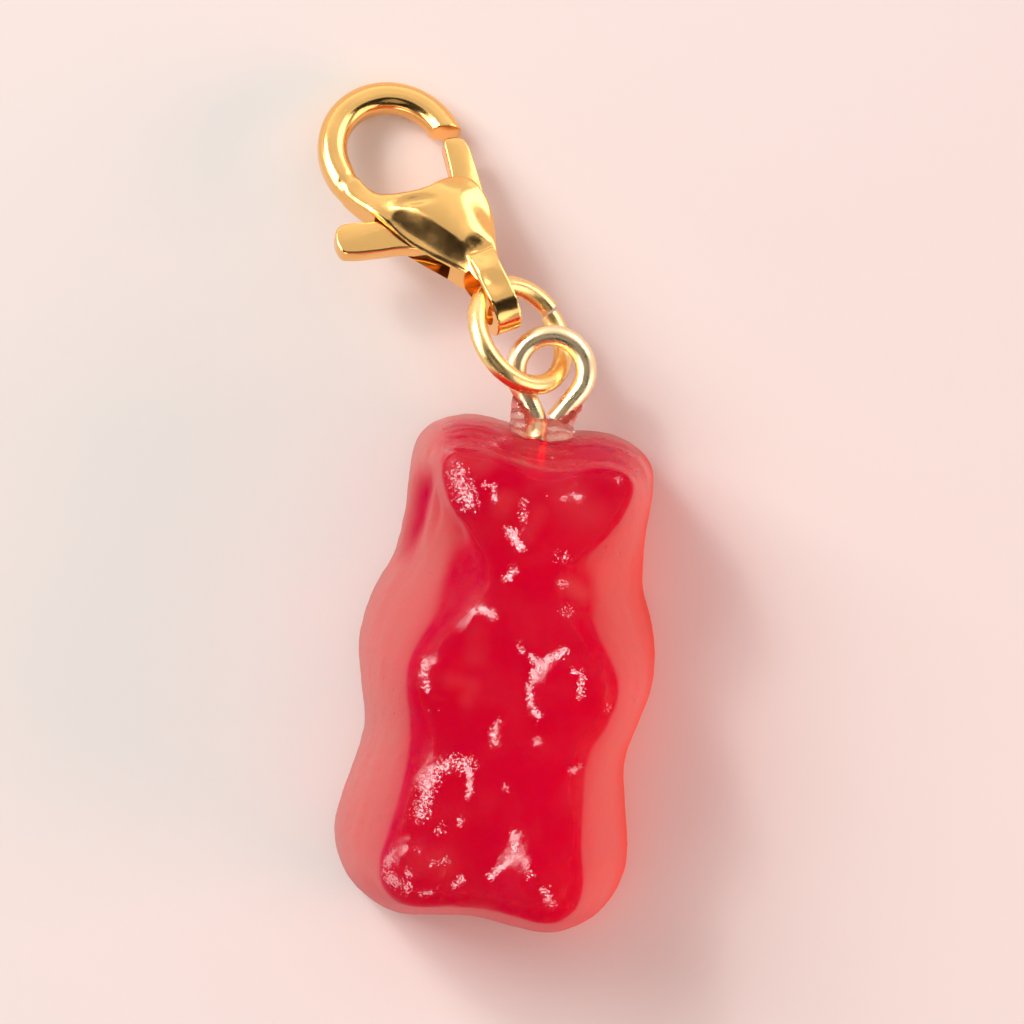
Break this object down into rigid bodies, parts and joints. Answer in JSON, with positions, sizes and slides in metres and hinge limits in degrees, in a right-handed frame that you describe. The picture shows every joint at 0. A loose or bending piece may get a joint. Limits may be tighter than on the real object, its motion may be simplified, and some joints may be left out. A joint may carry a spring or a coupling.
{
  "type": "gummy bear charm",
  "caption": "Clear red resin gummy bear lying on its flat back, with a screw eye in its head, a jump ring and a gold lobster clasp.",
  "frame": {"origin": "middle of the bear's flat back, on the surface that it lies on", "axes": "+Y from the feet to the head and on towards the clasp, +X to the right as seen from the front, +Z out of the moulded front"},
  "size_m": [0.0166, 0.0335, 0.0085],
  "materials": {
    "red_resin": "cast clear red resin, wet gloss on the moulded front and a satin, frosted flank",
    "clear_glue": "clear glue with small bubbles",
    "pale_gold": "pale gold plate, drawn wire",
    "polished_gold": "gold plate, polished wire",
    "clasp_gold": "gold-coloured stainless steel, cast, tumbled and polished"
  },
  "bodies": {
    "bear": {"bear": "red_resin", "glue": "clear_glue", "screw_eye": "pale_gold"},
    "ring": {"jump_ring": "polished_gold"},
    "clasp": {"clasp_body": "clasp_gold", "clasp_pin": "clasp_gold"},
    "lever": {"clasp_lever": "clasp_gold"}
  },
  "joints": [
    {"name": "ring_swing", "type": "hinge", "parent": "bear", "child": "ring", "pos_m": [0.00007, 0.01236, 0.00395], "axis": [0, 0, 1], "range_deg": [-35, 30]},
    {"name": "clasp_swing", "type": "hinge", "parent": "ring", "child": "clasp", "pos_m": [-0.00273, 0.01505, 0.00394], "axis": [0.5422, 0.4545, -0.7067], "range_deg": [0, 35]},
    {"name": "lever_open", "type": "hinge", "parent": "clasp", "child": "lever", "pos_m": [-0.0041, 0.01882, 0.00236], "axis": [0.0285, 0.4313, 0.9018], "range_deg": [0, 26], "stiffness_Nm_per_rad": 0.005, "springref_deg": -17.19}
  ]
}
